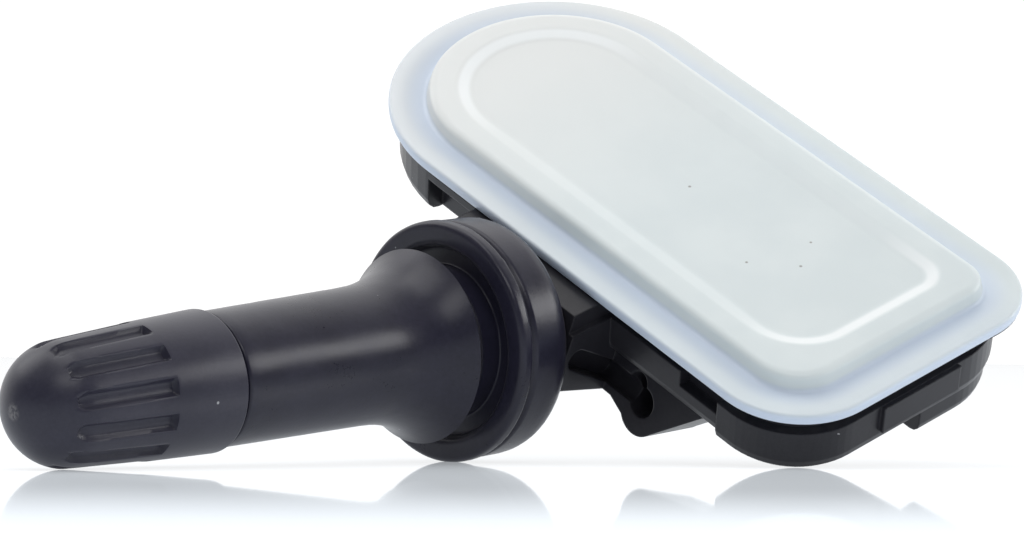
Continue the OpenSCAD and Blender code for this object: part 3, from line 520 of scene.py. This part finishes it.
def rubber_shape(x, r, turned):
    """Waviness and mould flash on the flange's rims, but none where the table is touched."""
    around, upright = math.cos(turned), math.sin(turned)
    facing = (VALVE.to_3x3() @ Vector((0, around, upright))).normalized()
    if r < OUTSIDE_R or facing.z < FACES_TABLE:
        return x, r
    wave = noise.noise(Vector((x * 0.9, 3 * around, 3 * upright))) * WAVE_MM
    rough = max(0, noise.noise(Vector((x * 2, 14 * around, 14 * upright))) - BURR_ABOVE)
    burr = 0
    if FRONT_RIM[0] < x < FRONT_RIM[1] and r > FRONT_RIM_R:
        burr = rough * FRONT_BURR_MM
    if x < REAR_RIM_BEFORE and r > REAR_RIM_R:
        burr = rough * REAR_BURR_MM
    return x, r + wave + burr


stem = spun("rubber_body", even(outer + bulge[1:-1] + tail, 0.9) + inner, 176, rubber_shape)
stem = finished(stem, VALVE, 38)
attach(stem, "sensor")
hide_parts("rubber_stem")

# %% [markdown]
# ## Rubber
#
# Black rubber is never quite black: it has a dusty bloom that catches light at grazing angles,
# which a little sheen gives. Its gloss is broken by fine moulding grain, and pale dust sits on it
# in tiny specks. One function makes every black or dull finish of the part. It can also draw the
# ragged pale flash along the housing's seam, and the mark of the gate on the cap's tip.

# %% Rubber material
DUST_TINT, FLASH_TINT, GATE_TINT = (0.5, 0.5, 0.52), (0.5, 0.5, 0.46), (0.16, 0.155, 0.16)
SEAM_Z = -2.05


def dusty(place, size_mm, amount):
    """Sparse pale specks: cells whose random value is high, drawn as small dots."""
    cell = place.node("ShaderNodeTexVoronoi", {
        "Vector": place, "Scale": 1 / (size_mm * MM), "Randomness": 1.0}, output="Distance")
    pick = place.node("ShaderNodeTexVoronoi", {
        "Vector": place, "Scale": 1 / (size_mm * MM), "Randomness": 1.0}, output="Color")
    chance = pick.node("ShaderNodeSeparateColor", {"Color": pick}, output="Red")
    return (1 - cell.ramp(0.03, 0.07)) * chance.ramp(amount, amount + 0.02)


def black_finish(name, low, high, rough, grain_mm, depth_mm, speck_mm, speck_amount,
                 rounded_mm=0, sheen=0.2, glint=0.5, flash=False, gate=False):
    """Moulded rubber or plastic between two tones, with grain and pale dust."""
    made, shader, place = material(name)
    cloud = grain(place, 5, 4)
    fine = grain(place, grain_mm, 5, 0.7)
    dust = dusty(place, speck_mm, speck_amount)
    colour = (cloud * 0.6 + fine * 0.4).ramp(0.3, 0.7).mix(low, high)
    colour = (dust * 0.7).mix(colour, DUST_TINT)
    if flash:
        _, y, z = axis_of(place, BODY)
        line = 1 - abs(z - SEAM_Z).ramp(0.1, 0.26)
        ragged = line * y.ramp(19.5, 20.5) * grain(place, 0.9).ramp(0.4, 0.6)
        colour = ragged.mix(colour, FLASH_TINT)
    if gate:
        _, across, up = axis_of(place, VALVE)
        mark = (1 - distance(across, up).ramp(0.35, 0.8)) * fine.ramp(0.35, 0.6)
        colour = (mark * 0.7).mix(colour, GATE_TINT)
    feed(colour, shader, "Base Color")
    feed(rough + cloud * 0.12 + fine * 0.08 + dust * 0.2, shader, "Roughness")
    shader.inputs["Specular IOR Level"].default_value = glint
    feed(bumped(place, fine + dust * 0.8, depth_mm, rounded_mm), shader, "Normal")
    shader.inputs["Sheen Weight"].default_value = sheen
    shader.inputs["Sheen Roughness"].default_value = 0.45
    return made


rubber_finish = black_finish("valve_rubber_skin", (0.0095, 0.009, 0.019), (0.018, 0.017, 0.032),
                             0.2, 0.4, 0.008, 1.6, 0.86, sheen=0.03, glint=0.32)
cover(stem, rubber_finish)
print("rubber on", stem.name)

# %% [markdown]
# ## The dust cap
#
# The cap is a hollow plastic thimble with a ball end and twelve grip flutes. Each flute has a
# straight step near the open end and a round end towards the dome. The cap is spun with plenty
# of points and the flutes are pressed into it, as a mould would: every point moves inwards by
# the flute's depth at that place. The walls of a flute are steep but not sharp.

# %% Dust cap
CAP_START, DOME_AT, DOME_R, CAP_R = 24.1, 36.95, 4.75, 5.45
FLUTES, FLUTE_AT, FLUTE_L, FLUTE_W, FLUTE_DEPTH = 12, 30.5, 8.4, 1.25, 0.52
FLUTE_TURN = math.radians(6)
FLUTED_OUTSIDE_R, WALL_IN, WALL_OUT, BOWL = 4.2, 0.16, 0.1, 0.3
CAP_BORE_R, BORE_END = 3.95, 36.45
GRIP_AT, GRIP_R, GRIP_TAPER = FLUTE_AT - 0.4, 5.19, 0.0617
PLAIN_AT, PLAIN_R = 31.1, 5.13


def smooth(low, high, value):
    """0 below low, 1 above high, smooth between."""
    t = min(max((value - low) / (high - low), 0), 1)
    return t * t * (3 - 2 * t)


def cap_shape(x, r, turned):
    """Presses the flutes into the cap."""
    if r < FLUTED_OUTSIDE_R or x < FLUTE_AT - 0.3:
        return x, r
    sector = 2 * math.pi / FLUTES
    off = (turned - math.pi / 2 - FLUTE_TURN + sector / 2) % sector - sector / 2
    across = abs(off) * r
    along = x - FLUTE_AT
    past = max(along - FLUTE_L + FLUTE_W / 2, 0)
    side = 1 - smooth(FLUTE_W / 2 - WALL_IN, FLUTE_W / 2 + WALL_OUT, math.hypot(across, past))
    bowl = 1 - BOWL * min(2 * across / FLUTE_W, 1) ** 2
    entry = smooth(-0.06, 0.16, along)
    return x, r - FLUTE_DEPTH * side * bowl * entry


def grip(first, radius, step, count):
    """Points of the tapering grip, close together where the flutes begin."""
    return [(first + k * step, radius - k * step * GRIP_TAPER) for k in range(1, count + 1)]


dome = [(DOME_AT + DOME_R * math.cos(math.radians(a)), DOME_R * math.sin(math.radians(a)))
        for a in range(88, -1, -4)]
skirt = rounded([(CAP_START, CAP_BORE_R), (CAP_START, CAP_R), (GRIP_AT, GRIP_R)], {1: 0.24}, 5)
fluted = grip(GRIP_AT, GRIP_R, 0.12, 7) + grip(PLAIN_AT, PLAIN_R, 0.45, 12)
bore = [(CAP_START, CAP_BORE_R), (36.0, CAP_BORE_R), (BORE_END, 3.2), (BORE_END, 0)]
cap = spun("cap_shell", list(reversed(bore)) + skirt[1:] + fluted + dome, 240, cap_shape)
cap = finished(cap, VALVE, 42)
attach(cap, "cap")
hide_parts("dust_cap")
cap_finish = black_finish("cap_plastic_skin", (0.017, 0.0165, 0.03), (0.029, 0.028, 0.045),
                          0.26, 0.3, 0.006, 2.2, 0.93, sheen=0.03, glint=0.34, gate=True)
cover(cap, cap_finish)
print("cap finish on", cap.name)

# %% [markdown]
# ## The brass tube and its thread
#
# When the cap is unscrewed, the brass tube's thread comes into sight. The CAD model has a plain
# cylinder there. The thread is the same spun profile with a groove that winds round it: at every
# point the depth follows how far the point is along the pitch, so the ridge climbs by one pitch
# in each turn.

# %% Brass insert
THREAD_R, THREAD_AT, MOUTH, PITCH_MM, THREAD_DEPTH = 3.85, 24.4, 35.3, 0.794, 0.4
THREAD_ROOT_R, THREAD_FULL_AT, THREAD_FADE = 3.4, 25.0, 0.7
TUBE_START, TUBE_OUT_R, ANCHOR_OUT_R = -5.8, 3.3, 5.5
AIR_R, BARREL_R, CORE_R = 1.5, 2.15, 2.6


def thread_shape(x, r, turned):
    """Cuts the groove of the thread, which fades out at both ends."""
    if r < THREAD_ROOT_R or x < THREAD_AT or x > MOUTH - 0.1:
        return x, r
    phase = (x / PITCH_MM - turned / (2 * math.pi)) % 1
    tooth = abs(phase * 2 - 1)
    depth = THREAD_DEPTH * smooth(0.12, 0.88, tooth)
    ends = smooth(THREAD_AT, THREAD_FULL_AT, x) * (1 - smooth(MOUTH - THREAD_FADE, MOUTH, x))
    return x, r - depth * ends


thread_steps = int((MOUTH - THREAD_FULL_AT) / PITCH_MM * 8)
thread = [(24.45 + k * PITCH_MM / 8, THREAD_R) for k in range(thread_steps)]
tube = ([(TUBE_START, 0.9), (TUBE_START, TUBE_OUT_R), (-3.4, TUBE_OUT_R), (-3.4, ANCHOR_OUT_R),
         (-2.4, ANCHOR_OUT_R), (-2.4, TUBE_OUT_R), (23.82, TUBE_OUT_R), (24.2, THREAD_R)] + thread
        + [(MOUTH - 0.5, THREAD_R), (MOUTH, THREAD_R - 0.5), (MOUTH, CORE_R), (30.0, CORE_R),
           (28.5, BARREL_R), (16.1, BARREL_R), (15.3, AIR_R), (TUBE_START, AIR_R),
           (TUBE_START, 0.9)])
brass = spun("brass_tube", tube, 72, thread_shape)
brass = finished(brass, VALVE, 35)
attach(brass, "sensor")
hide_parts("stem_insert")

# %% Foot of the insert
FOOT_R, FOOT_L, FOOT_AT, FOOT_HALF_W = 4, 6.2, -8.9, 3.5
start()
bpy.ops.mesh.primitive_cylinder_add(vertices=96, radius=FOOT_R, depth=FOOT_L,
                                    location=(FOOT_AT, 0, 0), rotation=(0, math.pi / 2, 0))
foot = bpy.context.object
foot.name = "brass_foot"
bpy.ops.object.transform_apply(location=True, rotation=True, scale=True)
bpy.ops.object.mode_set(mode="EDIT")
for side_y in (-FOOT_HALF_W, FOOT_HALF_W):
    bpy.ops.mesh.select_all(action="SELECT")
    bpy.ops.mesh.bisect(plane_co=(0, side_y, 0), plane_no=(0, math.copysign(1, side_y), 0),
                        use_fill=True, clear_outer=True)
bpy.ops.mesh.select_all(action="SELECT")
bpy.ops.mesh.bevel(offset=0.15, segments=2, affect="EDGES", clamp_overlap=True)
foot = finished(foot, VALVE, 30)
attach(foot, "sensor")
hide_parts("stem_insert")


TOOL_MARK_MM = 0.5


def metal_finish(name, low, high, rough, rounded_mm=0):
    """Machined metal: tone and gloss that vary, with fine tool marks."""
    made, shader, place = material(name)
    cloud = grain(place, 3, 4)
    marks = grain(place, TOOL_MARK_MM, 6, 0.75)
    feed((cloud * 0.7 + marks * 0.3).ramp(0.3, 0.7).mix(low, high), shader, "Base Color")
    feed(rough + cloud * 0.14 + marks * 0.08, shader, "Roughness")
    feed(bumped(place, marks, 0.005, rounded_mm), shader, "Normal")
    shader.inputs["Metallic"].default_value = 1.0
    return made


brass_finish = metal_finish("machined_brass", (0.46, 0.32, 0.13), (0.62, 0.45, 0.2), 0.26)
for piece in (brass, foot):
    cover(piece, brass_finish)

# %% [markdown]
# ## The spring
#
# The valve core's spring is a fine coil that nobody sees until the valve is cut open. The frame's
# spring is coarse, so this one is a round wire swept along a helix.

# %% Core spring
SPRING_LOW, SPRING_HIGH, COIL_R, WIRE_R, TURNS = 21.51, 27.09, 1.0, 0.13, 7
STEPS_A_TURN, WIRE_SIDES = 28, 10


def wire_ring(step):
    """The ring of points round the wire at one step along the helix."""
    turn = 2 * math.pi * step / STEPS_A_TURN
    x = SPRING_LOW + (SPRING_HIGH - SPRING_LOW) * step / (TURNS * STEPS_A_TURN)
    centre, along = Vector((x, 0, 0)), Vector((1, 0, 0))
    out = Vector((0, math.cos(turn), math.sin(turn)))
    ring = []
    for k in range(WIRE_SIDES):
        angle = 2 * math.pi * k / WIRE_SIDES
        ring.append(centre + out * (COIL_R + WIRE_R * math.cos(angle))
                    + along * WIRE_R * math.sin(angle))
    return ring


wire_rings = [wire_ring(step) for step in range(TURNS * STEPS_A_TURN + 1)]
spring = finished(grown("spring_wire", wire_rings), VALVE, 60)
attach(spring, "sensor")
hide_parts("core_spring")
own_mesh(spring)
steel_finish = metal_finish("bright_steel", (0.52, 0.53, 0.55), (0.68, 0.69, 0.71), 0.24)
cover(spring, steel_finish)

# %% [markdown]
# ## The housing and the small parts
#
# The frame's own solids are right for the housing and for everything inside it, so they stay and
# only get a finish. The housing is a glossier black than the rubber, glass-filled, with slightly
# uneven faces.

# %% Finishes for the frame's own pieces
housing_finish = black_finish("housing_plastic_skin", (0.013, 0.0125, 0.017),
                              (0.022, 0.0215, 0.026), 0.22, 0.25, 0.007, 1.3, 0.8,
                              rounded_mm=0.22, sheen=0.02, glint=0.24, flash=True)
screw_finish = metal_finish("plated_screw", (0.38, 0.39, 0.41), (0.52, 0.53, 0.55), 0.3,
                            rounded_mm=0.08)
board_finish = black_finish("board_laminate_skin", (0.012, 0.09, 0.045), (0.02, 0.13, 0.065),
                            0.3, 0.2, 0.003, 4, 0.97, sheen=0.0)
chip_finish = black_finish("moulded_package", (0.012, 0.012, 0.014), (0.022, 0.022, 0.025),
                           0.45, 0.15, 0.004, 4, 0.97, rounded_mm=0.05, sheen=0.0)
seal_finish = black_finish("seal_rubber_skin", (0.09, 0.09, 0.095), (0.13, 0.13, 0.135),
                           0.55, 0.3, 0.006, 3, 0.95)
red_seal_finish = black_finish("core_seal_skin", (0.19, 0.03, 0.022), (0.26, 0.045, 0.032),
                               0.5, 0.3, 0.005, 4, 0.97)
winding_finish = black_finish("coil_winding_skin", (0.09, 0.045, 0.03), (0.15, 0.08, 0.05),
                              0.35, 0.12, 0.01, 4, 0.97, sheen=0.0)
ceramic_finish = black_finish("component_skin", (0.33, 0.24, 0.13), (0.42, 0.31, 0.18),
                              0.4, 0.2, 0.003, 4, 0.97, sheen=0.0)
dress = {
    "housing": housing_finish, "mounting_screw": screw_finish, "circuit_board": board_finish,
    "battery_cell": steel_finish, "battery_tab_upper": steel_finish,
    "battery_tab_lower": steel_finish, "sensor_chip": chip_finish, "port_gasket": seal_finish,
    "lf_coil": winding_finish, "rf_antenna": brass_finish, "crystal": steel_finish,
    "board_components": ceramic_finish, "core_plug": brass_finish, "core_barrel": brass_finish,
    "core_pin": brass_finish, "core_seal": red_seal_finish, "core_cup_seal": seal_finish,
    "cap_seal": seal_finish}
for node_name, finish in dress.items():
    cover(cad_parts[node_name], finish)
print("dressed", len(dress), "frame pieces")

# %% [markdown]
# ## Floor and light
#
# The photograph is a plain catalogue shot: a white glossy table that runs into a white
# background. The strongest light stands on the camera's right. Softer ones hang above, in front
# and on the left. The table mirrors more at a glancing view, as any glossy plastic does, and the
# mirror image fades towards the camera.

# %% Floor
TABLE_M, TABLE_GAP_M, TABLE_IOR = 6, 0.00002, 1.45
TABLE_GREY, TABLE_GLOW, GLOW_STRENGTH = (0.42, 0.45, 0.48, 1), (0.92, 0.96, 1, 1), 0.56
MIRROR_TINT, MIRROR_ROUGHNESS = (1.0, 0.99, 0.98, 1), 0.03
MIRROR_FAR, MIRROR_LOSS, MIRROR_FADE_M = 0.63, 0.58, (0.045, 0.118)

start()
floor_z = cad_box[0][2]
bpy.ops.mesh.primitive_plane_add(size=TABLE_M, location=(0, 0, floor_z - TABLE_GAP_M))
floor = bpy.context.object
floor.name = "studio_table"
floor_finish = bpy.data.materials.new("glossy_table")
floor_finish.use_nodes = True
tree = floor_finish.node_tree
tree.nodes.clear()
out = tree.nodes.new("ShaderNodeOutputMaterial")
matte = tree.nodes.new("ShaderNodeBsdfDiffuse")
matte.inputs["Color"].default_value = TABLE_GREY
lit = tree.nodes.new("ShaderNodeEmission")
lit.inputs["Color"].default_value = TABLE_GLOW
lit.inputs["Strength"].default_value = GLOW_STRENGTH
white = tree.nodes.new("ShaderNodeAddShader")
gloss = tree.nodes.new("ShaderNodeBsdfGlossy")
gloss.inputs["Color"].default_value = MIRROR_TINT
gloss.inputs["Roughness"].default_value = MIRROR_ROUGHNESS
blend = tree.nodes.new("ShaderNodeMixShader")
tree.links.new(matte.outputs[0], white.inputs[0])
tree.links.new(lit.outputs[0], white.inputs[1])
tree.links.new(white.outputs[0], blend.inputs[1])
tree.links.new(gloss.outputs[0], blend.inputs[2])
tree.links.new(blend.outputs[0], out.inputs["Surface"])
side = Vector((right.x, right.y, 0)).normalized()
front = Vector((-ahead.x, -ahead.y, 0)).normalized()
place = Shade(tree, tree.nodes.new("ShaderNodeTexCoord").outputs["Object"])
grazing = place.node("ShaderNodeFresnel", {"IOR": TABLE_IOR})
mirror = grazing * (MIRROR_FAR - place.along(front).ramp(*MIRROR_FADE_M) * MIRROR_LOSS)
tree.links.new(mirror.socket, blend.inputs["Fac"])
floor.data.materials.append(floor_finish)

# %% Light
ROOM_DIM, ROOM_BEHIND, ROOM_ABOVE = 0.14, 0.96, 0.34
LIGHTS = [  # name, metres to the right, to the front and up, aim height, size, watts
    ("side_light", 0.56, 0.0, 0.235, 0.01, (0.34, 0.17), 1.1),
    ("top_light", -0.06, 0.03, 0.5, 0.0, (0.34, 0.26), 0.62),
    ("front_light", 0.05, 0.37, 0.33, 0.01, (0.3, 0.16), 0.5),
    ("left_light", -0.34, -0.1, 0.36, 0.01, (0.3, 0.3), 0.5)]

bpy.context.scene.view_settings.view_transform = "Standard"
world = bpy.data.worlds.new("white_room")
bpy.context.scene.world = world
world.use_nodes = True
room_nodes = world.node_tree.nodes
room = Shade(world.node_tree, room_nodes.new("ShaderNodeTexCoord").outputs["Generated"])
behind = room.along(-front).ramp(-0.1, 0.55)
overhead = room.along((0, 0, 1)).ramp(0.3, 0.9)
bright = ROOM_DIM + ROOM_BEHIND * behind + overhead * ROOM_ABOVE
backdrop = room_nodes["Background"]
backdrop.inputs["Color"].default_value = (1, 1, 1, 1)
world.node_tree.links.new(bright.socket, backdrop.inputs["Strength"])
for name, sideways, forwards, height, aim_height, size, watts in LIGHTS:
    softbox = bpy.data.lights.new(name, "AREA")
    softbox.shape = "RECTANGLE"
    softbox.size, softbox.size_y = size
    softbox.energy = watts
    lamp = bpy.data.objects.new(name, softbox)
    bpy.context.scene.collection.objects.link(lamp)
    lamp.location = side * sideways + front * forwards + Vector((0, 0, height))
    aim = Vector((0, 0, aim_height)) - lamp.location
    lamp.rotation_euler = aim.to_track_quat("-Z", "Y").to_euler()
print("scene lit")
